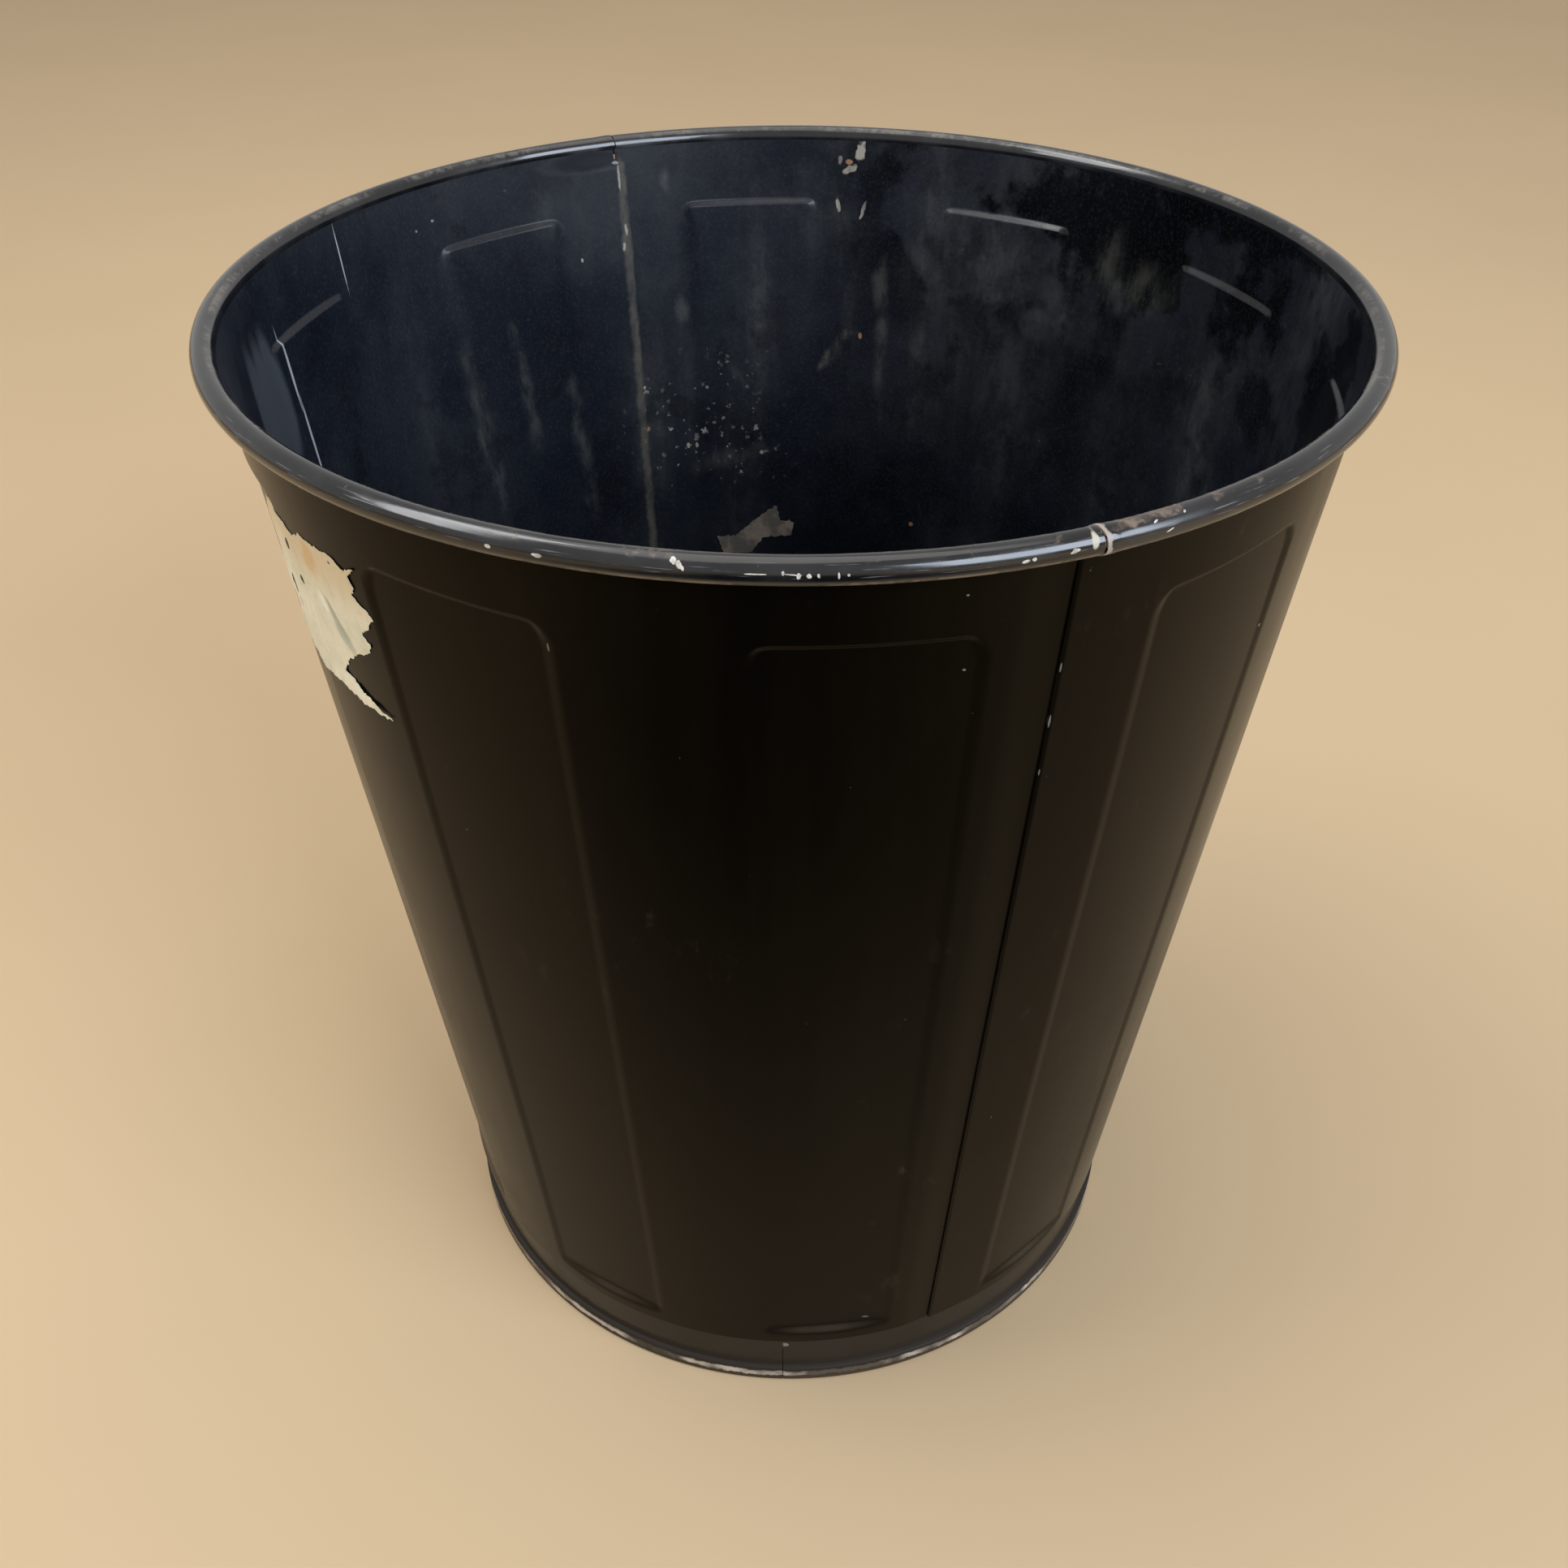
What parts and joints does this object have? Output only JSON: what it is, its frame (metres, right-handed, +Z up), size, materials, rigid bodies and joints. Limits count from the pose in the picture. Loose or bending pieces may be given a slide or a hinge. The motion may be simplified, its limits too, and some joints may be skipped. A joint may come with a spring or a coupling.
{
  "type": "waste can",
  "caption": "Round tapered sheet-steel waste can, open at the top, with pressed upright panels, a rolled wired rim and a hooped base.",
  "frame": {"origin": "on the floor under the middle of the can", "axes": "+Z up along the can's axis, -Y towards the front, +X to the right seen from the front"},
  "size_m": [0.335, 0.3348, 0.3582],
  "materials": {
    "outer_paint": "aged semi-gloss black",
    "hoop_paint": "aged semi-gloss black, worn at the foot",
    "inner_paint": "dusty gloss black",
    "wire": "plain drawn steel",
    "paper": "aged torn paper"
  },
  "bodies": {
    "root": {"right_shell": "outer_paint", "left_shell": "outer_paint", "rim_wire": "wire", "base_hoop": "hoop_paint", "bottom_pan": "inner_paint", "outside_label_remnant": "paper", "inside_label_remnant": "paper"}
  },
  "joints": []
}
